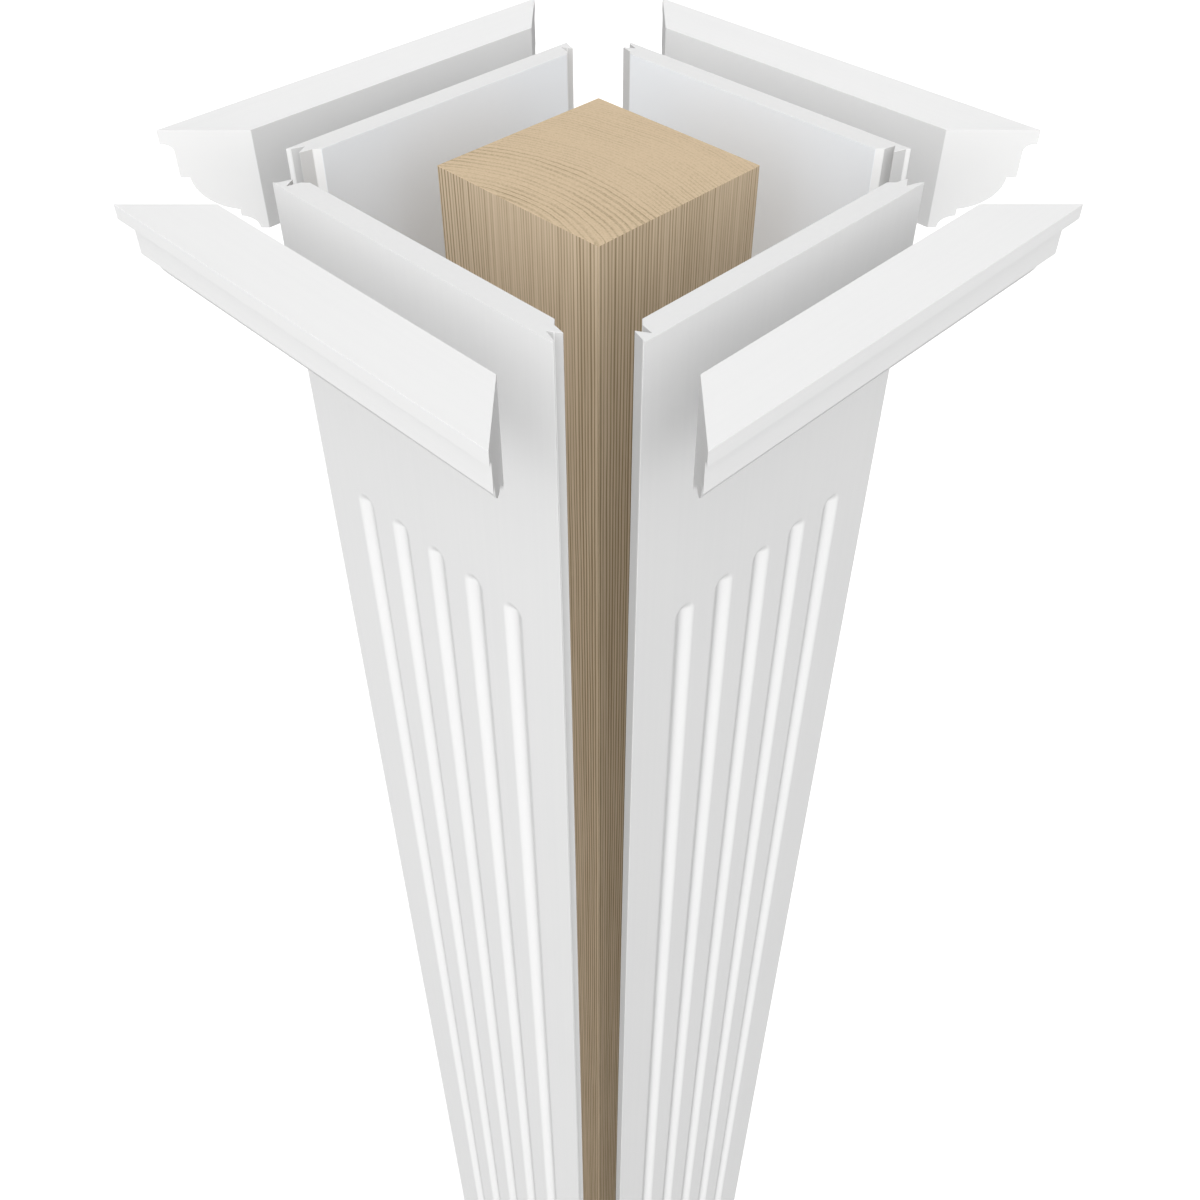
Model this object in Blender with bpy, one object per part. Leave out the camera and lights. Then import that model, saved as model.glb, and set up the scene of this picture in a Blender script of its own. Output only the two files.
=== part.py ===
"""Square fluted column wrap, drawn apart around the post that it goes round.

Metres, +Z up. The origin is on the ground, on the column's axis. The front faces -Y.
Four fluted panels stand a little way out from their closed place, and four lengths of
crown moulding stand further out, level with the panels' tops. Every piece is made at the
front and then turned about the axis by quarter turns.
"""

import math

import bmesh
import bpy

# Overall sizes: an 8 ft wrap, nominally 10 in wide, for a dressed 6 by 6 post
COLUMN_HEIGHT = 2.4384
POST_SIDE = 0.1397
POST_ARRIS = 0.001
WRAP_WIDTH = 0.2445
PANEL_THICKNESS = 0.0159

# How far the pieces are drawn apart
PANEL_DRAWN_OUT = 0.0318
CROWN_STANDOFF = 0.0382

# Lock mitre joint, in shares of the panel's thickness: along the face, then outwards
LOCK_MITRE = [(0.0, 0.0), (0.245, 0.245), (0.81, 0.375), (0.30, 0.675), (0.875, 0.875), (1.0, 1.0)]

# Flutes, each stopped with a round end
FLUTE_COUNT = 5
FLUTE_PITCH = 0.0381
FLUTE_WIDTH = 0.01905
FLUTE_DEPTH = 0.0039
PLAIN_AT_TOP = 0.2159
PLAIN_AT_FOOT = 0.2159
FLUTE_RINGS = 5
FLUTE_END_STEPS = 10
CUTTER_RISE = 0.002

# Crown moulding, its back against the panel: from the lip down, then its foot
LIP_HEIGHT = 0.0095
LIP_LEDGE = 0.0010
UPPER_COVE_RADIUS = 0.0049
BAND_HEIGHT = 0.0179
STEP_WIDTH = 0.0046
OVOLO_WIDTH = 0.0201
OVOLO_HEIGHT = 0.0225
OVOLO_BULGE = 0.0055
FILLET_HEIGHT = 0.0048
LOWER_COVE_WIDTH = 0.0080
LOWER_COVE_HEIGHT = 0.0087
CROWN_FOOT = 0.0043

SIDES = ["front", "right", "back", "left"]

WHITE = (0.80, 0.80, 0.80)
SOFTWOOD = (0.58, 0.46, 0.31)


def clear_scene():
    """Remove whatever the scene holds."""
    for old in list(bpy.data.objects):
        bpy.data.objects.remove(old, do_unlink=True)


def finish(name, colour, roughness):
    """Plain surface finish of one piece."""
    material = bpy.data.materials.new(name)
    material.use_nodes = True
    shader = material.node_tree.nodes["Principled BSDF"]
    shader.inputs["Base Color"].default_value = (*colour, 1.0)
    shader.inputs["Roughness"].default_value = roughness
    shader.inputs["Metallic"].default_value = 0.0
    return material


def mesh_from(name, points, faces):
    """Mesh with its faces turned outwards."""
    mesh = bpy.data.meshes.new(name)
    mesh.from_pydata(points, [], faces)
    shape = bmesh.new()
    shape.from_mesh(mesh)
    bmesh.ops.recalc_face_normals(shape, faces=shape.faces)
    shape.to_mesh(mesh)
    shape.free()
    return mesh


def place(name, mesh, quarter_turns):
    """Object on the column's axis, turned round from the front."""
    piece = bpy.data.objects.new(name, mesh)
    piece.rotation_euler.z = quarter_turns * math.pi / 2
    bpy.context.collection.objects.link(piece)
    return piece


def prism(name, first, second):
    """Mesh of the solid between two outlines with as many points each."""
    count = len(first)
    faces = [list(range(count)), list(range(count, 2 * count))]
    for i in range(count):
        j = (i + 1) % count
        faces.append([i, j, j + count, i + count])
    return mesh_from(name, first + second, faces)


def upright(name, plan):
    """Mesh of the solid that stands on a plan, from the ground to the column's top."""
    return prism(name, [(x, y, 0.0) for x, y in plan], [(x, y, COLUMN_HEIGHT) for x, y in plan])


def arc(start, end, bulge, steps):
    """Points of a circular arc, without its start. It bulges to the left, or if negative to the right."""
    chord = math.dist(start, end)
    along = ((end[0] - start[0]) / chord, (end[1] - start[1]) / chord)
    radius = (chord ** 2 / 4 + bulge ** 2) / (2 * abs(bulge))
    sweep = 2 * math.asin(chord / 2 / radius)
    points = []
    for k in range(1, steps + 1):
        angle = sweep * (k / steps - 0.5)
        run = chord / 2 + radius * math.sin(angle)
        rise = math.copysign(abs(bulge) - radius * (1 - math.cos(angle)), bulge)
        points.append((start[0] + along[0] * run - along[1] * rise, start[1] + along[1] * run + along[0] * rise))
    return points


def quarter_bulge(width, height):
    """Bulge of a quarter circle, or of the arc that stands for a slightly uneven one."""
    return math.hypot(width, height) * (math.sqrt(0.5) - 0.5)


def make_post():
    """Solid square softwood post with slightly eased arrises."""
    half = POST_SIDE / 2
    plan = []
    for turn in range(4):
        angle = turn * math.pi / 2
        for x, y in ((half, half - POST_ARRIS), (half - POST_ARRIS, half)):
            plan.append((x * math.cos(angle) - y * math.sin(angle), x * math.sin(angle) + y * math.cos(angle)))
    post = place("post", upright("post", plan), 0)
    post.data.materials.append(finish("post", SOFTWOOD, 0.7))


def panel_plan():
    """Plan of the front panel, with the two halves of the lock mitre at its ends."""
    corner = WRAP_WIDTH / 2 - PANEL_THICKNESS
    inner_face = corner + PANEL_DRAWN_OUT
    right = [(corner + s * PANEL_THICKNESS, -inner_face - n * PANEL_THICKNESS) for s, n in LOCK_MITRE]
    left = [(-corner - n * PANEL_THICKNESS, -inner_face - s * PANEL_THICKNESS) for s, n in LOCK_MITRE]
    return right + left[::-1]


def flute_depth(distance):
    """Depth of a flute at a distance from its middle line: a bell that meets the face smoothly."""
    return FLUTE_DEPTH * (1 + math.cos(2 * math.pi * distance / FLUTE_WIDTH)) / 2


def flute_ring(x, distance, depth):
    """Long ring round a flute's middle line, at a distance from it and a depth under the face."""
    face = WRAP_WIDTH / 2 + PANEL_DRAWN_OUT
    ends = [COLUMN_HEIGHT - PLAIN_AT_TOP - FLUTE_WIDTH / 2, PLAIN_AT_FOOT + FLUTE_WIDTH / 2]
    ring = []
    for half_turns, centre in enumerate(ends):
        for k in range(FLUTE_END_STEPS + 1):
            angle = math.pi * (half_turns + k / FLUTE_END_STEPS)
            ring.append((x + distance * math.cos(angle), depth - face, centre + distance * math.sin(angle)))
    return ring


def flute_cutter(x):
    """Points and faces of the solid that cuts one flute of the front panel."""
    gap = FLUTE_WIDTH / 2 / FLUTE_RINGS
    rings = [flute_ring(x, j * gap, flute_depth(j * gap)) for j in range(1, FLUTE_RINGS + 1)]
    last_slope = flute_depth(FLUTE_WIDTH / 2 - gap) / gap
    rings.append(flute_ring(x, FLUTE_WIDTH / 2 + CUTTER_RISE / last_slope, -CUTTER_RISE))
    count = len(rings[0])
    half = count // 2
    faces = [list(range(FLUTE_RINGS * count, len(rings) * count))]
    for j in range(FLUTE_RINGS):
        for i in range(count):
            k = (i + 1) % count
            faces.append([j * count + i, j * count + k, (j + 1) * count + k, (j + 1) * count + i])
    points = [point for ring in rings for point in ring]
    top, foot = len(points), len(points) + 1
    middle = flute_ring(x, 0.0, FLUTE_DEPTH)
    points += [middle[0], middle[half]]
    for i in range(half - 1):
        faces += [[i, i + 1, top], [i + half, i + half + 1, foot]]
    faces += [[half - 1, half, foot, top], [count - 1, 0, top, foot]]
    return points, faces


def flute_cutters():
    """Mesh of what is cut from the front panel, all its flutes."""
    points, faces = [], []
    for k in range(FLUTE_COUNT):
        more_points, more_faces = flute_cutter((k - (FLUTE_COUNT - 1) / 2) * FLUTE_PITCH)
        faces += [[i + len(points) for i in face] for face in more_faces]
        points += more_points
    return mesh_from("flutes", points, faces)


def make_panel(side, quarter_turns, cutters):
    """Fluted panel with a lock mitre along each long edge."""
    name = side + "_panel"
    panel = place(name, upright(name, panel_plan()), quarter_turns)
    panel.data.materials.append(finish(name, WHITE, 0.4))
    cutter = place(side + "_flutes", cutters, quarter_turns)
    cutter.hide_render = True
    cutter.display_type = "WIRE"
    cut = panel.modifiers.new("flutes", "BOOLEAN")
    cut.operation = "DIFFERENCE"
    cut.solver = "EXACT"
    cut.object = cutter


def crown_profile():
    """Outline of the crown: distance out from its back, and height from its top, downwards negative."""
    out = CROWN_FOOT + LOWER_COVE_WIDTH + OVOLO_WIDTH + STEP_WIDTH + UPPER_COVE_RADIUS + LIP_LEDGE
    down = -LIP_HEIGHT
    outline = [(0.0, 0.0), (out, 0.0), (out, down), (out - LIP_LEDGE, down)]
    out -= LIP_LEDGE + UPPER_COVE_RADIUS
    down -= UPPER_COVE_RADIUS
    outline += arc(outline[-1], (out, down), -quarter_bulge(UPPER_COVE_RADIUS, UPPER_COVE_RADIUS), 4)
    down -= BAND_HEIGHT
    outline += [(out, down), (out - STEP_WIDTH, down)]
    out -= STEP_WIDTH + OVOLO_WIDTH
    down -= OVOLO_HEIGHT
    outline += arc(outline[-1], (out, down), OVOLO_BULGE, 9)
    down -= FILLET_HEIGHT
    outline.append((out, down))
    out -= LOWER_COVE_WIDTH
    down -= LOWER_COVE_HEIGHT
    outline += arc(outline[-1], (out, down), -quarter_bulge(LOWER_COVE_WIDTH, LOWER_COVE_HEIGHT), 5)
    outline.append((0.0, down))
    return outline


def make_crown(side, quarter_turns):
    """Length of solid crown moulding, mitred at both ends."""
    name = side + "_crown"
    back = WRAP_WIDTH / 2 + PANEL_DRAWN_OUT + CROWN_STANDOFF
    ends = []
    for hand in (-1, 1):
        ends.append([(hand * (WRAP_WIDTH / 2 + p), -back - p, COLUMN_HEIGHT + z) for p, z in crown_profile()])
    crown = place(name, prism(name, *ends), quarter_turns)
    crown.data.shade_smooth()
    crown.data.set_sharp_from_angle(angle=math.radians(30))
    crown.data.materials.append(finish(name, WHITE, 0.4))


clear_scene()
make_post()
shared_cutters = flute_cutters()
for turns, side_name in enumerate(SIDES):
    make_panel(side_name, turns, shared_cutters)
    make_crown(side_name, turns)
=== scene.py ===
"""Square fluted column wrap, drawn apart around the softwood post that it goes round.

Metres, +Z up. The front faces -Y, and the origin is on the ground, on the column's axis. Four fluted
panels stand a little way out from their closed place, and four lengths of crown moulding further out.
"""

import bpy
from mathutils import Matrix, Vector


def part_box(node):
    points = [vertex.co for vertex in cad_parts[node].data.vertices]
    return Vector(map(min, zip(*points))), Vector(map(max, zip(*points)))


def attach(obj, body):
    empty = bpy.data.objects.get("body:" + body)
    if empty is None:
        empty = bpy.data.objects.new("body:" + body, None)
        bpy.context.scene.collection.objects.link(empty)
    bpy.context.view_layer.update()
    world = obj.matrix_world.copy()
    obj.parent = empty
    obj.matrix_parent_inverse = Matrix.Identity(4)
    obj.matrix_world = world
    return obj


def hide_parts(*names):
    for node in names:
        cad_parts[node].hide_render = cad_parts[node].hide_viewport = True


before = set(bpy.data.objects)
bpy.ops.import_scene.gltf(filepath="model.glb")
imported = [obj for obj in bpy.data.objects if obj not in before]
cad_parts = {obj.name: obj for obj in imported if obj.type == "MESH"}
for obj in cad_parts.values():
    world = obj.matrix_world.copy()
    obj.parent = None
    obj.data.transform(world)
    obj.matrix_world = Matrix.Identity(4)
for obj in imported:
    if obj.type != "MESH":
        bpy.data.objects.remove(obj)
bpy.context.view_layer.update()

import math

import bpy
import numpy as np

# The post
# A solid softwood post, 139.7 mm square, planed on its four sides and left bare. Its ends are sawn square
# and show the growth rings of a tree whose heart lay outside the front face.

COLUMN_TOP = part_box("post")[1][2]
POST_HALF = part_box("post")[1][0]
POST_ARRIS = 0.0005
POST_ARRIS_STEPS = 4
POST_END_EASE = 0.0003
POST_PLAIN_END = 0.05
POST_ROWS = 24

# Eased corners: how much of the face beside one is kept flat in its shading, and its widest half angle
FLAT_KEPT = 0.0001
NEARLY_STRAIGHT = np.pi / 2 - 1e-6


def eased_outline(corners, radius, steps, sharp=None):
    """Closed outline with its sharp corners eased by arcs of a radius.

    At a corner, a and b are the unit directions to the corners before and after it, and h is half the angle
    between them. The arc's centre is radius / sin(h) away, along a + b. Its points turn from the foot of the
    centre on one edge to the foot on the other, and one more point on each edge keeps the face beside it
    flat in its shading. A corner that isn't sharp stays one point.
    """
    before = np.roll(corners, 1, axis=0) - corners
    after = np.roll(corners, -1, axis=0) - corners
    a = before / np.linalg.norm(before, axis=1, keepdims=True)
    b = after / np.linalg.norm(after, axis=1, keepdims=True)
    half = np.arccos(np.clip((a * b).sum(axis=1), -1, 1)) / 2
    half = np.minimum(half, NEARLY_STRAIGHT)[:, None]
    centre = corners + (a + b) / (2 * np.cos(half)) * radius / np.sin(half)
    reach = radius / np.tan(half)
    start = corners + a * reach - centre
    end = corners + b * reach - centre
    turn = (np.pi - 2 * half)[:, None]
    share = np.linspace(0, 1, steps + 1)[None, :, None]
    arcs = np.sin((1 - share) * turn) * start[:, None] + np.sin(share * turn) * end[:, None]
    arcs = arcs / np.sin(turn)
    rows = [centre[:, None] + start[:, None] + FLAT_KEPT * a[:, None], centre[:, None] + arcs]
    rows = np.concatenate(rows + [centre[:, None] + end[:, None] + FLAT_KEPT * b[:, None]], axis=1)
    if sharp is None:
        return rows.reshape(-1, 2)
    kept = np.repeat(sharp[:, None], steps + 3, axis=1)
    kept[:, 0] = True
    rows[:, 0] = np.where(sharp[:, None], rows[:, 0], corners)
    return rows[kept]


def inward(outline):
    """Moves that carry each point of a closed outline one unit inwards from both edges that meet there.

    With m and n the inward unit normals of the two edges, the move is (m + n) / (1 + m . n).
    """
    edge = np.roll(outline, -1, axis=0) - outline
    edge = edge / np.linalg.norm(edge, axis=1, keepdims=True)
    x, y = outline.T
    area = (x * np.roll(y, -1) - y * np.roll(x, -1)).sum()
    normal = np.stack([-edge[:, 1], edge[:, 0]], axis=1) * np.sign(area)
    last = np.roll(normal, 1, axis=0)
    return (last + normal) / (1 + (last * normal).sum(axis=1, keepdims=True))


# A cut end's eased edges: the steps of their arc, and how far in the flat row past it lies, in radii
CUT_STEPS = 3
CUT_FLAT = 1.6


def end_rows(radius):
    """How far in, and how far from the end, the rows lie that ease the edges of a cut end.

    Row at angle q from 0 to 90 degrees: in by radius (1 - cos q), and radius (1 - sin q) from the end. One
    row before and one after keep the side and the cut face flat in their shading. The outline's own corners
    are eased by more than CUT_FLAT times this radius, so that the last row doesn't cross itself.
    """
    angle = np.linspace(0, np.pi / 2, CUT_STEPS + 1)
    inset = np.concatenate([[0], radius * (1 - np.cos(angle)), [radius * CUT_FLAT]])
    from_end = np.concatenate([[radius * CUT_FLAT], radius * (1 - np.sin(angle)), [0]])
    return inset, from_end


def skin(name, rings):
    """Closed skin over rows of points, each row a closed ring, with a flat face on the first and last row.

    Point (row, column) is joined to its neighbours by four-sided faces, and the last column to the first.
    """
    rows, columns = rings.shape[:2]
    index = np.arange(rows * columns).reshape(rows, columns)
    beside = np.roll(index, -1, axis=1)
    sides = np.stack([index[:-1], beside[:-1], beside[1:], index[1:]], axis=-1).reshape(-1, 4)
    mesh = bpy.data.meshes.new(name)
    faces = sides.tolist() + [index[0, ::-1].tolist(), index[-1].tolist()]
    mesh.from_pydata(rings.reshape(-1, 3).tolist(), [], faces)
    mesh.shade_smooth()
    piece = bpy.data.objects.new(name, mesh)
    bpy.context.collection.objects.link(piece)
    return piece


def upright_rings(outline, radius, heights):
    """Rings of a bar that stands on its outline from the ground to the column's top, its cut ends eased."""
    inset, from_end = end_rows(radius)
    insets = np.concatenate([inset[::-1], np.zeros(len(heights)), inset])
    levels = np.concatenate([from_end[::-1], heights, COLUMN_TOP - from_end])
    plan = outline[None] + insets[:, None, None] * inward(outline)[None]
    return np.concatenate([plan, np.broadcast_to(levels[:, None, None], plan.shape[:2] + (1,))], axis=2)


class Reading:
    """Output of a node in a finish. A sum written with readings adds its Math nodes."""

    def __init__(self, tree, output):
        self.tree = tree
        self.output = output

    def add(self, kind, sockets, output=0, **settings):
        """One more node of a kind: its settings first, then the values or links of its sockets."""
        node = self.tree.nodes.new(kind)
        for name, value in settings.items():
            setattr(node, name, value)
        for name, value in sockets.items():
            if isinstance(value, Reading):
                self.tree.links.new(value.output, node.inputs[name])
            else:
                node.inputs[name].default_value = value
        return Reading(self.tree, node.outputs[output])

    def work(self, operation, *values):
        return self.add("ShaderNodeMath", dict(enumerate(values)), operation=operation)

    def __add__(self, other):
        return self.work("ADD", self, other)

    def __radd__(self, other):
        return self.work("ADD", other, self)

    def __sub__(self, other):
        return self.work("SUBTRACT", self, other)

    def __rsub__(self, other):
        return self.work("SUBTRACT", other, self)

    def __mul__(self, other):
        return self.work("MULTIPLY", self, other)

    def __rmul__(self, other):
        return self.work("MULTIPLY", other, self)

    def __truediv__(self, other):
        return self.work("DIVIDE", self, other)

    def __gt__(self, other):
        return self.work("GREATER_THAN", self, other)

    def __lt__(self, other):
        return self.work("LESS_THAN", self, other)

    def __abs__(self):
        return self.work("ABSOLUTE", self)

    def parts(self):
        """The three coordinates of this place."""
        return [self.add("ShaderNodeSeparateXYZ", {"Vector": self}, output=axis) for axis in range(3)]

    def ramp(self, start, end):
        """0 up to start, 1 from end on, and a smooth rise between."""
        sockets = {"Value": self, "From Min": start, "From Max": end}
        return self.add("ShaderNodeMapRange", sockets, interpolation_type="SMOOTHSTEP")

    def noise(self, scale, detail=2.0, stretch=(1.0, 1.0, 1.0)):
        """Smooth noise from 0 to 1 at this place, with its pattern stretched along the axes."""
        at = self.add("ShaderNodeMapping", {"Vector": self, "Scale": stretch})
        return self.add("ShaderNodeTexNoise", {"Vector": at, "Scale": scale, "Detail": detail})

    def line_noise(self, scale):
        """Smooth noise from 0 to 1 of a single number."""
        sockets = {"W": self, "Scale": scale, "Detail": 1.0}
        return self.add("ShaderNodeTexNoise", sockets, noise_dimensions="1D")

    def either(self, first, second):
        """The first number where this mask is 0, the second where it is 1."""
        return first + self * (second - first)

    def tint(self, first, second):
        """Mix of two colours: the first where this mask is 0, the second where it is 1."""
        return self.add("ShaderNodeMix", {0: self, 6: first, 7: second}, output=2, data_type="RGBA")


def new_finish(name):
    """Material with its shader, and the place on the piece, which comes from Object coordinates."""
    finish = bpy.data.materials.new(name)
    finish.use_nodes = True
    tree = finish.node_tree
    shader = tree.nodes["Principled BSDF"]
    place = Reading(tree, tree.nodes.new("ShaderNodeTexCoord").outputs["Object"])
    return finish, tree, shader, place


def lay_on(tree, shader, colour, roughness, height, depth):
    """Joins a colour, a roughness and a relief of a depth in metres to the shader."""
    tree.links.new(colour.output, shader.inputs["Base Color"])
    tree.links.new(roughness.output, shader.inputs["Roughness"])
    bump = height.add("ShaderNodeBump", {"Height": height, "Strength": 1.0, "Distance": depth})
    tree.links.new(bump.output, shader.inputs["Normal"])


# Growth rings: where in its growth a ring darkens and ends, how dark the palest one is, and the middle of a
# noise's range
RING_DARKENS = (0.40, 0.80)
RING_ENDS = (0.84, 1.0)
PALEST_RING = 0.50
MIDDLE = (0.30, 0.70)


def growth_rings(count, unevenness):
    """Darkness of the growth rings where `count` rings have grown.

    The count is made uneven by noise of itself. Within a ring the wood darkens slowly and ends sharply, and
    each ring has a darkness of its own.
    """
    uneven = count + unevenness * count.line_noise(scale=0.9)
    ring = uneven.work("FLOOR", uneven)
    share = uneven - ring
    own = ring.add("ShaderNodeTexWhiteNoise", {"W": ring}, noise_dimensions="1D")
    return share.ramp(*RING_DARKENS) * (1 - share.ramp(*RING_ENDS)) * own.either(PALEST_RING, 1.0)


# The sawn end in millimetres: the tree's heart, the rings' width, how far from the heart they get finer and
# by how many a millimetre, where they get fainter, and how far they drift in broad and in small waves
HEART_X = 8.0
HEART_Y = -178.0
RING_WIDTH = 4.7
FINER_FROM = 174
FINER_BY = 0.13
FAINTER = (168.0, 180.0)
BROAD_DRIFT = 9
SMALL_DRIFT = 1.6

# Its shading: how much fainter the rings get, how many finer ones come to each, from which number those are
# counted and how dark they are, and the least and most that noise leaves of all of them
FAINTER_BY = 0.4
FINE_RINGS = 2.4
FINE_FIRST = 90
FINE_SHADE = 0.40
BROKEN = (0.55, 1.15)


def sawn_rings(place, x, y):
    """Darkness of the rings on a sawn end: broad and clear near the heart, fine and faint further out.

    At r from the heart, moved a little by noise, r / RING_WIDTH rings have grown, and past FINER_FROM a
    further FINER_BY (r - FINER_FROM). Other, finer rings lie among them, and noise breaks both up.
    """
    drift = BROAD_DRIFT * place.noise(scale=11.0) + SMALL_DRIFT * place.noise(scale=90.0)
    squared = (x - HEART_X) * (x - HEART_X) + (y - HEART_Y) * (y - HEART_Y)
    radius = squared.work("SQRT", squared) + drift
    past = radius - FINER_FROM
    grown = radius / RING_WIDTH + FINER_BY * past.work("MAXIMUM", past, 0.0)
    broad = growth_rings(grown, unevenness=0.6) * (1 - FAINTER_BY * radius.ramp(*FAINTER))
    among = growth_rings(FINE_RINGS * grown + FINE_FIRST, unevenness=0.9)
    broken = place.noise(scale=26.0, detail=3.0).ramp(*MIDDLE).either(*BROKEN)
    return broken * (broad + FINE_SHADE * among)


# The planed sides in millimetres round the post: a side, where the grain is widest, how long its wave is to
# the left and right of there, the rings a millimetre, how much their number swings, the number of the first,
# and how far the grain bends and wavers
SIDE_LENGTH = 140
WIDEST_GRAIN = 75
WAVE_LEFT = 145.0
WAVE_RIGHT = 240.0
RINGS_A_MM = 0.41
RINGS_SWING = 0.065
SIDE_FIRST = 300
BEND = 2.0
WAVER = 1.2

# Their shading: the least and most that wear leaves of the grain, how dark narrow grain is, and how many
# millimetres below the top wide grain gets stronger
RUBBED = (0.75, 1.25)
NARROW_SHADE = 0.48
GRAIN_STRONGER = (30.0, 260.0)


def round_post(x, y):
    """Millimetres round the post from the middle of its front face, positive to the right."""
    front_back = (y > 0).either(x, 2 * SIDE_LENGTH - x)
    left_right = (x > 0).either(-SIDE_LENGTH - y, SIDE_LENGTH + y)
    return (abs(y) > abs(x)).either(left_right, front_back)


def planed_grain(place, girth, from_top):
    """Darkness of the grain down the planed sides at a place round the post.

    At s past WIDEST_GRAIN, moved a little by noise so that the grain bends and wavers, with w the wave's
    length on that side, RINGS_A_MM s - RINGS_SWING w / tau sin(tau s / w) rings have grown. The grain is
    stronger where it is wide, and more so some way below the top.
    """
    wave = (girth > WIDEST_GRAIN).either(WAVE_LEFT, WAVE_RIGHT)
    swing = (girth - WIDEST_GRAIN) * math.tau / wave
    wide = 0.5 + 0.5 * swing.work("COSINE", swing)
    bend = place.noise(scale=1.0, detail=1.0, stretch=(14.0, 14.0, 3.5))
    waver = place.noise(scale=1.0, stretch=(130.0, 130.0, 14.0))
    past = girth + BEND * bend + WAVER * waver - WIDEST_GRAIN
    past_swing = past * math.tau / wave
    count = RINGS_A_MM * past - RINGS_SWING * wave / math.tau * past_swing.work("SINE", past_swing)
    rubbed = place.noise(scale=1.0, stretch=(220.0, 220.0, 9.0)).ramp(*MIDDLE).either(*RUBBED)
    rings = growth_rings(count + SIDE_FIRST, unevenness=0.4)
    stronger = 1 + from_top.ramp(*GRAIN_STRONGER) * wide
    return rubbed * rings * wide.either(NARROW_SHADE, 1.0) * stronger


# The wood's colours, its least and most roughness, its relief in metres, what share of that shows, and how
# strongly it shines
PLANED_EARLYWOOD = (0.590, 0.472, 0.338, 1.0)
SAWN_EARLYWOOD = (0.636, 0.496, 0.331, 1.0)
LATEWOOD = (0.270, 0.202, 0.113, 1.0)
WOOD_ROUGHNESS = (0.58, 0.76)
WOOD_RELIEF = 0.00006
WOOD_RELIEF_SHARE = 0.6
WOOD_SHINE = 0.35

# The wood's shading: the sawn end's rings, the fibres, pores and soft clouds, painted shade on the right
# face and on the sides near the top, how many millimetres below the top that painted shade fades, and the
# whole range
END_SHADE = 0.60
FIBRE_SHADE = 0.36
PORE_SHADE = 0.26
CLOUD_SHADE = 0.16
RIGHT_FACE_PAINTED_SHADE = 0.13
UPPER_PAINTED_SHADE = 0.11
PAINTED_SHADE_FADE = (200.0, 600.0)
SHADE_RANGE = (-0.1, 1.1)

# Millimetres in a metre, and how near the plane of an end or a side counts as that face, in millimetres
MM = 1000
END_MARGIN = 0.25
FACE_MARGIN = 0.5


def softwood():
    """Bare planed softwood: growth rings across the sawn ends, straight grain down the sides, and painted
    shade on the right face and near the top of the sides.
    """
    finish, tree, shader, place = new_finish("softwood")
    x, y, z = (MM * part for part in place.parts())
    half_height = MM * COLUMN_TOP / 2
    from_top = 2 * half_height - z
    on_end = abs(z - half_height) > half_height - END_MARGIN
    on_right = x > MM * POST_HALF - FACE_MARGIN
    grain = planed_grain(place, round_post(x, y), from_top)
    rings = on_end.either(grain, END_SHADE * sawn_rings(place, x, y))
    fibre = place.noise(scale=1.0, detail=3.0, stretch=(640.0, 640.0, 7.0))
    pores = place.noise(scale=900.0, detail=3.0)
    fine = on_end.either(fibre.ramp(*MIDDLE), pores.ramp(*MIDDLE))
    cloud = place.noise(scale=5.0)
    # Painted shade: the right face is darkened, and so are the sides near the top, fading out further down
    painted_shade = RIGHT_FACE_PAINTED_SHADE * on_right + UPPER_PAINTED_SHADE * (1 - from_top.ramp(*PAINTED_SHADE_FADE))
    shade = rings + on_end.either(FIBRE_SHADE, PORE_SHADE) * (fine - 0.5) + CLOUD_SHADE * (cloud - 0.5)
    shade = shade + on_end.either(painted_shade, 0.0)
    earlywood = on_end.tint(PLANED_EARLYWOOD, SAWN_EARLYWOOD)
    colour = shade.ramp(*SHADE_RANGE).tint(earlywood, LATEWOOD)
    relief = WOOD_RELIEF_SHARE * (fine - rings)
    lay_on(tree, shader, colour, fine.either(*WOOD_ROUGHNESS), relief, WOOD_RELIEF)
    shader.inputs["Specular IOR Level"].default_value = WOOD_SHINE
    return finish


post_corners = POST_HALF * np.array([(-1.0, -1.0), (1.0, -1.0), (1.0, 1.0), (-1.0, 1.0)])
post_outline = eased_outline(post_corners, POST_ARRIS, POST_ARRIS_STEPS)
post_heights = np.linspace(POST_PLAIN_END, COLUMN_TOP - POST_PLAIN_END, POST_ROWS)
post = skin("post_timber", upright_rings(post_outline, POST_END_EASE, post_heights))
post.data.materials.append(softwood())
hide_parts("post")
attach(post, "root")

# The fluted panels
# Four white cellular plastic boards, 15.9 mm thick, with five stopped flutes milled in the face of each. A
# lock mitre is milled along both long edges, so that the four close up to a square column with no nails.

WRAP_WIDTH = 0.2445
PANEL_THICKNESS = 0.0159
PANEL_DRAWN_OUT = 0.0318
PANEL_OUTER_FACE = WRAP_WIDTH / 2 + PANEL_DRAWN_OUT
PANEL_PLAIN_ROWS = [0.05, 0.12]
LOCK_EASE = 0.00016
LOCK_EASE_STEPS = 3
PANEL_END_EASE = 0.00008

# The lock mitre's corners in shares of the panel's thickness: along the face, then outwards
LOCK_MITRE = np.array([(0, 0), (0.245, 0.245), (0.81, 0.375), (0.30, 0.675), (0.875, 0.875), (1, 1)])

# The flutes: their sizes, the height of a round end's middle, and the points of the mesh
FLUTE_COUNT = 5
FLUTE_PITCH = 0.0381
FLUTE_WIDTH = 0.01905
FLUTE_DEPTH = 0.0039
PLAIN_END = 0.2159
FLUTE_STOP = PLAIN_END + FLUTE_WIDTH / 2
LAST_FLUTE = (FLUTE_COUNT - 1) / 2
FLUTE_BEYOND = 1.05
FLUTE_POINTS = 29
FLUTE_END_ROWS = 16
FLUTE_ROWS = 40

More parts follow.
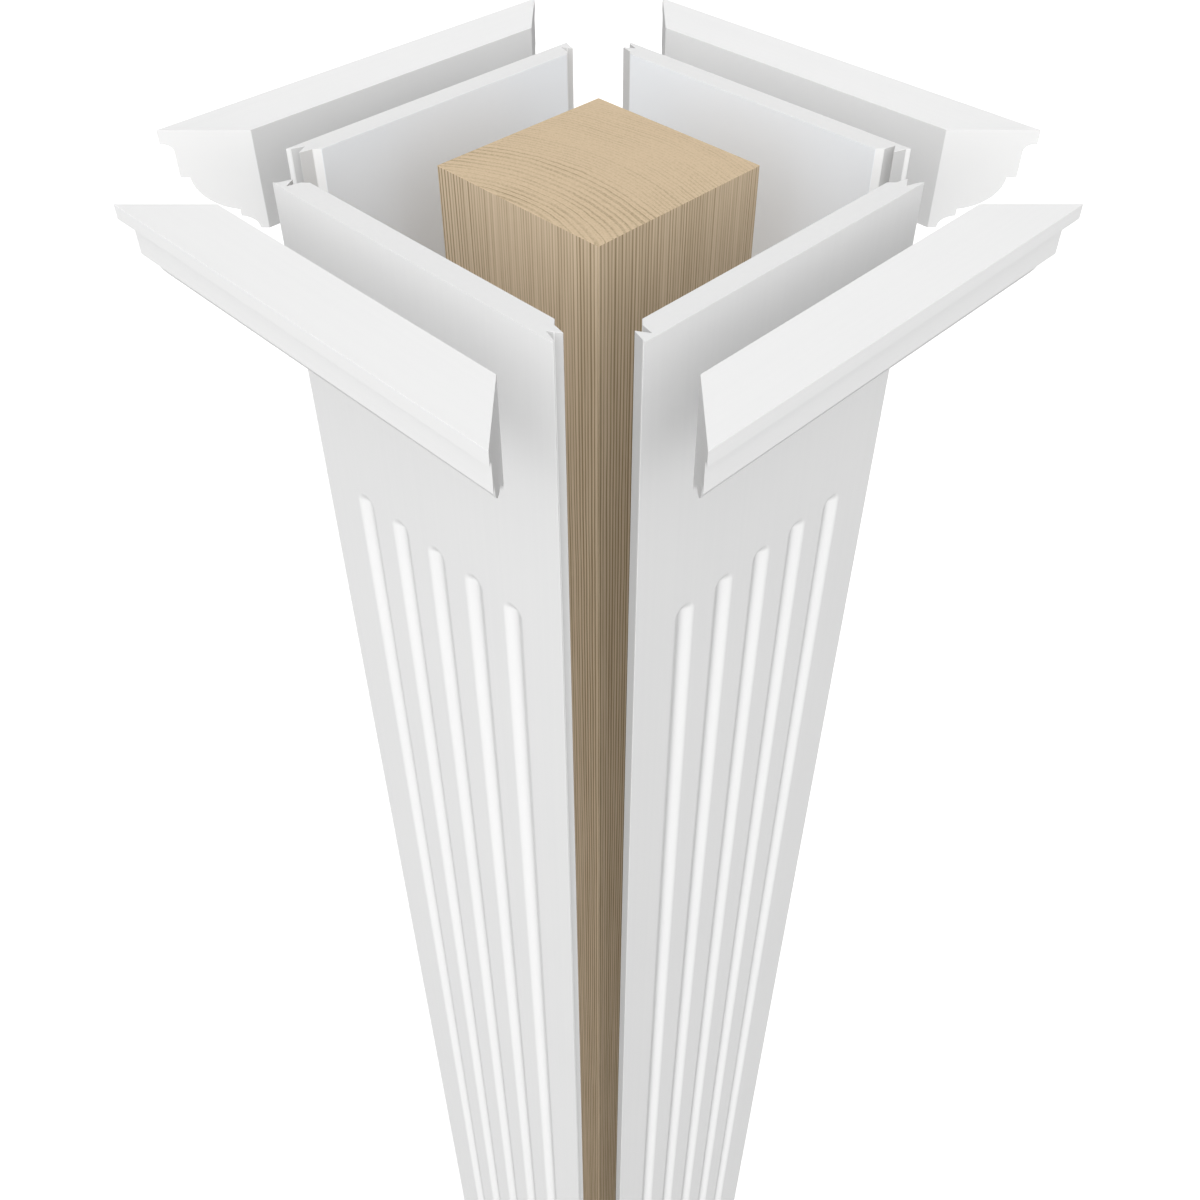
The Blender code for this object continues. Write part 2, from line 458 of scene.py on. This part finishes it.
# The board's colours, and the stretch of its grain on even and odd sides
BOARD_WHITE = (0.790, 0.790, 0.788, 1.0)
BOARD_GREY = (0.740, 0.742, 0.745, 1.0)
# Painted light: the inner face's white is cooler and lighter, against the warm light the wood casts on it
INNER_PAINTED_COOL_WHITE = (0.795, 0.820, 0.852, 1.0)
# Painted shade: the lock mitre's white is milled plastic darkened for the shade in the joint's recesses
LOCK_PAINTED_SHADE_WHITE = (0.590, 0.590, 0.588, 1.0)
BOARD_GRAINS = [(260.0, 260.0, 0.8), (261.0, 260.0, 0.8)]
SIDES = ["front", "right", "back", "left"]


def turned(points, quarter_turns):
    """Points turned about the column's axis by quarter turns."""
    cos = round(math.cos(quarter_turns * math.pi / 2))
    sin = round(math.sin(quarter_turns * math.pi / 2))
    x, y, z = np.moveaxis(points, -1, 0)
    return np.stack([x * cos - y * sin, x * sin + y * cos, z], axis=-1)


def flute_depth(x, z):
    """Depth of the flutes under the face at x across and z up.

    With d the distance from the nearest flute's middle line, whose ends lie half a width inside the flute's,
    the depth is FLUTE_DEPTH (1 + cos(2 pi d / FLUTE_WIDTH)) / 2, and nothing past half a width.
    """
    nearest = np.clip(np.round(x / FLUTE_PITCH), -LAST_FLUTE, LAST_FLUTE) * FLUTE_PITCH
    away = np.hypot(x - nearest, z - np.clip(z, FLUTE_STOP, COLUMN_TOP - FLUTE_STOP))
    bell = FLUTE_DEPTH * (1 + np.cos(2 * np.pi * away / FLUTE_WIDTH)) / 2
    return np.where(away < FLUTE_WIDTH / 2, bell, 0.0)


def panel_rings():
    """Rings of the front panel.

    The plan's outline runs from the outer left corner along the face, back through one half of the lock
    mitre, along the inner face and out through the other half. The rows are the plan at rising heights, and
    the face's points are moved in by the flutes' depth.
    """
    corner = WRAP_WIDTH / 2 - PANEL_THICKNESS
    inner_face = corner + PANEL_DRAWN_OUT
    along, out = LOCK_MITRE.T * PANEL_THICKNESS
    right = np.stack([corner + along, -inner_face - out], axis=1)[::-1]
    left = np.stack([-corner - out, -inner_face - along], axis=1)
    corners = np.concatenate([left[-1:], right, left[:-1]])
    outline = eased_outline(corners, LOCK_EASE, LOCK_EASE_STEPS)
    middles = (np.arange(FLUTE_COUNT) - LAST_FLUTE) * FLUTE_PITCH
    shares = np.concatenate([[-FLUTE_BEYOND], np.linspace(-1, 1, FLUTE_POINTS), [FLUTE_BEYOND]])
    across = (middles[:, None] + shares[None] * FLUTE_WIDTH / 2).ravel()
    face = np.stack([across, np.full(len(across), -inner_face - PANEL_THICKNESS)], axis=1)
    first = LOCK_EASE_STEPS + 3
    outline = np.concatenate([outline[:first], face, outline[first:]])
    from_stop = np.concatenate([[FLUTE_BEYOND], np.linspace(1, 0, FLUTE_END_ROWS)])
    low = np.concatenate([PANEL_PLAIN_ROWS, FLUTE_STOP - FLUTE_WIDTH / 2 * from_stop])
    between = np.linspace(FLUTE_STOP, COLUMN_TOP - FLUTE_STOP, FLUTE_ROWS)[1:-1]
    heights = np.concatenate([low, between, COLUMN_TOP - low[::-1]])
    rings = upright_rings(outline, PANEL_END_EASE, heights)
    face_points = rings[:, first:first + len(across)]
    face_points[..., 1] += flute_depth(face_points[..., 0], face_points[..., 2])
    return rings


def from_axis(place, quarter_turns):
    """How far this place lies across the board or moulding from its middle, out from the axis, and up."""
    x, y, z = place.parts()
    return (abs(x), abs(y), z) if quarter_turns % 2 == 0 else (abs(y), abs(x), z)


# The white plastic: how much of its grey shows and over what range of the noise, its roughness and what adds
# to it, its relief in metres, and how near the plane of a face or of the mitre counts as that face
GREY_SHARE = 0.35
GREY_RANGE = (0.3, 0.75)
WHITE_ROUGHNESS = 0.36
STREAKS_ROUGHER = 0.1
BUMPS_ROUGHER = 0.06
MILLED_ROUGHER = 0.16
WHITE_RELIEF = 0.00002
ON_FACE = 0.0002
ON_MITRE = 0.0004


def cellular_white(name, white, grey, grain, quarter_turns, faces):
    """White cellular plastic, satin, with a faint grain along the board or moulding.

    `faces` is a function of the distances across, out and up. It lists the faces that differ, each as a
    mask, its colour, and how much rougher it is.
    """
    finish, tree, shader, place = new_finish(name)
    streaks = place.noise(scale=1.0, detail=3.0, stretch=grain)
    cloud = place.noise(scale=7.0)
    skin_bumps = place.noise(scale=900.0)
    greyer = GREY_SHARE * ((streaks + cloud) / 2).ramp(*GREY_RANGE)
    colour = greyer.tint(white, grey)
    roughness = WHITE_ROUGHNESS + STREAKS_ROUGHER * streaks + BUMPS_ROUGHER * skin_bumps
    for mask, face_colour, rougher in faces(*from_axis(place, quarter_turns)):
        colour = mask.tint(colour, face_colour)
        roughness = roughness + rougher * mask
    lay_on(tree, shader, colour, roughness, (skin_bumps + streaks) / 2, WHITE_RELIEF)
    return finish


def panel_faces(across, out, up):
    """The panel's inner face, a cooler and lighter white painted against the wood's warm light, and the
    milled tongue and groove, a duller white darkened with painted shade.

    The lock mitre's first and last faces lie on the mitre itself and keep the board's own white. So do the
    cut ends.
    """
    inside = PANEL_OUTER_FACE - PANEL_THICKNESS + ON_FACE > out
    past_inner_edge = across > WRAP_WIDTH / 2 - PANEL_THICKNESS + ON_FACE
    behind_outer_face = PANEL_OUTER_FACE - ON_FACE > out
    off_mitre = abs(across - out + PANEL_DRAWN_OUT) > ON_MITRE
    between_ends = COLUMN_TOP / 2 - ON_FACE > abs(up - COLUMN_TOP / 2)
    shaded_lock = past_inner_edge * behind_outer_face * off_mitre * between_ends
    # Painted light on the inner face, and painted shade on the lock mitre's faces
    return [(inside, INNER_PAINTED_COOL_WHITE, 0.0), (shaded_lock, LOCK_PAINTED_SHADE_WHITE, MILLED_ROUGHER)]


front_rings = panel_rings()
for turns, side in enumerate(SIDES):
    name = side + "_board"
    panel = skin(name, turned(front_rings, turns))
    grain = BOARD_GRAINS[turns % 2]
    panel.data.materials.append(cellular_white(name, BOARD_WHITE, BOARD_GREY, grain, turns, panel_faces))
    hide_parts(side + "_panel")
    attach(panel, "root")

# The crown mouldings
# Four lengths of solid white cellular plastic moulding, mitred at both ends, that go round the panels' tops.
# From the top down each has a lip, a small cove, a band, an ovolo, a fillet and a cove above its foot.

CROWN_STANDOFF = 0.0382
CROWN_BACK = PANEL_OUTER_FACE + CROWN_STANDOFF
CROWN_EASE = 0.00014
CROWN_EASE_STEPS = 3
CROWN_CUT_EASE = 0.00007
CROWN_MIDDLE = 0.9
CROWN_ROWS = 9
LIP_HEIGHT = 0.0095
LIP_LEDGE = 0.0010
UPPER_COVE_RADIUS = 0.0049
BAND_HEIGHT = 0.0179
STEP_WIDTH = 0.0046
OVOLO_WIDTH = 0.0201
OVOLO_HEIGHT = 0.0225
OVOLO_BULGE = 0.0055
FILLET_HEIGHT = 0.0048
LOWER_COVE_WIDTH = 0.0080
LOWER_COVE_HEIGHT = 0.0087
CROWN_FOOT = 0.0043
SMALL_COVE_STEPS = 8
OVOLO_STEPS = 20
BIG_COVE_STEPS = 10
CROWN_WHITE = (0.860, 0.860, 0.858, 1.0)
CROWN_GREY = (0.810, 0.812, 0.815, 1.0)
# Painted shade: the sawn ends' and the milled back's whites are duller cut plastic, darkened further for the
# shade of the gaps they face
SAWN_PAINTED_SHADE_WHITE = (0.750, 0.750, 0.748, 1.0)
MILLED_PAINTED_SHADE_WHITE = (0.670, 0.670, 0.668, 1.0)
SAWN_ROUGHER = 0.1
CROWN_GRAINS = [(1.2, 300.0, 300.0), (300.0, 1.2, 300.0)]


def arc(start, end, bulge, steps):
    """Points of a circular arc, without its ends. It bulges to the left, or if negative to the right.

    With the chord c and the bulge b, the radius is (c^2 / 4 + b^2) / 2b, and the points lie at even angles.
    """
    start, end = np.array(start), np.array(end)
    chord = np.linalg.norm(end - start)
    along = (end - start) / chord
    across = np.array([-along[1], along[0]]) * math.copysign(1.0, bulge)
    radius = (chord ** 2 / 4 + bulge ** 2) / (2 * abs(bulge))
    angle = 2 * math.asin(chord / 2 / radius) * (np.arange(1, steps) / steps - 0.5)[:, None]
    run = chord / 2 + radius * np.sin(angle)
    rise = abs(bulge) - radius * (1 - np.cos(angle))
    return start + along * run + across * rise


def quarter_bulge(width, height):
    """Bulge of a quarter circle, or of the arc that stands for a slightly uneven one."""
    return math.hypot(width, height) * (math.sqrt(0.5) - 0.5)


def crown_outline():
    """Outline of the crown: distance out from its back, and height from its top, downwards negative."""
    out = CROWN_FOOT + LOWER_COVE_WIDTH + OVOLO_WIDTH + STEP_WIDTH + UPPER_COVE_RADIUS + LIP_LEDGE
    ledge_out = out - LIP_LEDGE
    band_out = ledge_out - UPPER_COVE_RADIUS
    band_top = -LIP_HEIGHT - UPPER_COVE_RADIUS
    band_foot = band_top - BAND_HEIGHT
    ovolo_out = band_out - STEP_WIDTH
    fillet_out = ovolo_out - OVOLO_WIDTH
    fillet_top = band_foot - OVOLO_HEIGHT
    fillet_foot = fillet_top - FILLET_HEIGHT
    foot_out = fillet_out - LOWER_COVE_WIDTH
    foot = fillet_foot - LOWER_COVE_HEIGHT
    small_cove = -quarter_bulge(UPPER_COVE_RADIUS, UPPER_COVE_RADIUS)
    big_cove = -quarter_bulge(LOWER_COVE_WIDTH, LOWER_COVE_HEIGHT)
    runs = [
        ([(0.0, 0.0), (out, 0.0), (out, -LIP_HEIGHT), (ledge_out, -LIP_HEIGHT)], True),
        (arc((ledge_out, -LIP_HEIGHT), (band_out, band_top), small_cove, SMALL_COVE_STEPS), False),
        ([(band_out, band_top), (band_out, band_foot), (ovolo_out, band_foot)], True),
        (arc((ovolo_out, band_foot), (fillet_out, fillet_top), OVOLO_BULGE, OVOLO_STEPS), False),
        ([(fillet_out, fillet_top), (fillet_out, fillet_foot)], True),
        (arc((fillet_out, fillet_foot), (foot_out, foot), big_cove, BIG_COVE_STEPS), False),
        ([(foot_out, foot), (0.0, foot)], True),
    ]
    points = np.concatenate([np.array(run) for run, corner in runs])
    sharp = np.concatenate([np.full(len(run), corner) for run, corner in runs])
    return eased_outline(points, CROWN_EASE, CROWN_EASE_STEPS, sharp)


def crown_rings():
    """Rings of the front crown: its outline carried from one mitre to the other.

    A point p out from the back lies, in a row at share v from -1 to 1 of the length, at v (half width + p)
    to the side. The rows at the ends move inwards as they reach the cut, and so ease its edges.
    """
    outline = crown_outline()
    inset, from_end = end_rows(CROWN_CUT_EASE)
    middle = np.linspace(-CROWN_MIDDLE, CROWN_MIDDLE, CROWN_ROWS)
    insets = np.concatenate([inset[::-1], np.zeros(len(middle)), inset])
    shares = np.concatenate([-np.ones(len(inset)), middle, np.ones(len(inset))])
    short = np.concatenate([from_end[::-1], np.zeros(len(middle)), -from_end])
    profile = outline[None] + insets[:, None, None] * inward(outline)[None]
    out, down = profile[..., 0], profile[..., 1]
    x = shares[:, None] * (WRAP_WIDTH / 2 + out) + short[:, None]
    return np.stack([x, -CROWN_BACK - out, COLUMN_TOP + down], axis=-1)


def crown_faces(across, out, up):
    """The crown's mitred ends, sawn, a little duller and darkened with painted shade, and its milled flat
    back, darker still with painted shade where it faces the panel.
    """
    # Painted shade: both masks take a darker white
    sawn = across - out > WRAP_WIDTH / 2 - CROWN_BACK - ON_FACE
    return [(sawn, SAWN_PAINTED_SHADE_WHITE, SAWN_ROUGHER), (CROWN_BACK + ON_FACE > out, MILLED_PAINTED_SHADE_WHITE, MILLED_ROUGHER)]


front_crown_rings = crown_rings()
for turns, side in enumerate(SIDES):
    name = side + "_moulding"
    crown = skin(name, turned(front_crown_rings, turns))
    grain = CROWN_GRAINS[turns % 2]
    crown.data.materials.append(cellular_white(name, CROWN_WHITE, CROWN_GREY, grain, turns, crown_faces))
    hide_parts(side + "_crown")
    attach(crown, "root")

# The studio
# A plain white floor that runs out of sight, a broad soft light from behind the camera, a low one from the
# other side, three weak fills without shadows, and even light all round. The camera looks down at the corner
# between the front and the right panel.

FLOOR_HALF = 30.0
FLOOR_TICKS = 7
FLOOR_WHITE = 0.93
FLOOR_ROUGHNESS = 0.9
FLOOR_GLOW = 0.24
WHITE_LIGHT = (1.0, 1.0, 1.0, 1.0)
ROOM_LIGHT = 0.34

# Each light's strength, where it comes from in degrees round and up, how many degrees it spreads over,
# whether it casts shadows, and whether its reflection shows
LAMPS = {
    "window": (2.34, 45.0, 30.0, 100.0, True, True),
    "back_window": (2.00, 225.0, 8.0, 40.0, True, False),
    "fill": (0.69, 45.0, 44.0, 10.0, False, True),
    "low_fill": (0.58, 20.0, 10.0, 10.0, False, True),
    "top_fill": (0.10, 0.0, 90.0, 10.0, False, True),
}
FRAME_PIXELS = 1200
SENSOR_WIDTH = 36.0
NEAREST_SEEN = 0.01
CAMERA_FOCAL_PIXELS = 1276.24
CAMERA_PLACE = (0.52270, -0.52199, 2.79417)
CAMERA_PITCH = math.radians(90 - 43.554)
CAMERA_YAW = math.radians(44.967)
CAMERA_SHIFT = -0.02

ticks = np.linspace(-FLOOR_HALF, FLOOR_HALF, FLOOR_TICKS)
floor_x, floor_y = np.meshgrid(ticks, ticks)
floor_points = np.stack([floor_x.ravel(), floor_y.ravel(), np.zeros(floor_x.size)], axis=1)
floor_index = np.arange(floor_x.size).reshape(floor_x.shape)
floor_near = [floor_index[:-1, :-1], floor_index[:-1, 1:]]
floor_far = [floor_index[1:, 1:], floor_index[1:, :-1]]
floor_faces = np.stack(floor_near + floor_far, axis=-1)
floor_mesh = bpy.data.meshes.new("studio_floor")
floor_mesh.from_pydata(floor_points.tolist(), [], floor_faces.reshape(-1, 4).tolist())
studio_floor = bpy.data.objects.new("studio_floor", floor_mesh)
bpy.context.collection.objects.link(studio_floor)
floor_paint = bpy.data.materials.new("floor_paint")
floor_paint.use_nodes = True
floor_shader = floor_paint.node_tree.nodes["Principled BSDF"]
floor_shader.inputs["Base Color"].default_value = (FLOOR_WHITE, FLOOR_WHITE, FLOOR_WHITE, 1.0)
floor_shader.inputs["Roughness"].default_value = FLOOR_ROUGHNESS
floor_shader.inputs["Specular IOR Level"].default_value = 0.0
floor_shader.inputs["Emission Color"].default_value = WHITE_LIGHT
floor_shader.inputs["Emission Strength"].default_value = FLOOR_GLOW
floor_mesh.materials.append(floor_paint)
studio_floor.visible_diffuse = False
studio_floor.visible_glossy = False

room = bpy.data.worlds.new("room")
room.use_nodes = True
room_tree = room.node_tree
backdrop = room_tree.nodes["Background"]
seen = Reading(room_tree, room_tree.nodes.new("ShaderNodeLightPath").outputs["Is Camera Ray"])
room_tree.links.new(seen.either(ROOM_LIGHT, 1.0).output, backdrop.inputs["Strength"])
backdrop.inputs["Color"].default_value = WHITE_LIGHT
bpy.context.scene.world = room

for name, (strength, azimuth, elevation, spread, shadows, sheen) in LAMPS.items():
    lamp = bpy.data.objects.new(name, bpy.data.lights.new(name, "SUN"))
    lamp.data.energy = strength
    lamp.data.angle = math.radians(spread)
    lamp.data.use_shadow = shadows
    lamp.rotation_euler = (math.pi / 2 - math.radians(elevation), 0.0, math.radians(azimuth))
    lamp.visible_glossy = sheen
    bpy.context.collection.objects.link(lamp)

camera = bpy.data.objects.new("camera", bpy.data.cameras.new("camera"))
camera.data.sensor_width = SENSOR_WIDTH
camera.data.lens = SENSOR_WIDTH * CAMERA_FOCAL_PIXELS / FRAME_PIXELS
camera.data.shift_y = CAMERA_SHIFT
camera.data.clip_start = NEAREST_SEEN
camera.location = CAMERA_PLACE
camera.rotation_euler = (CAMERA_PITCH, 0.0, CAMERA_YAW)
bpy.context.collection.objects.link(camera)
bpy.context.scene.camera = camera
bpy.context.scene.view_settings.view_transform = "Standard"
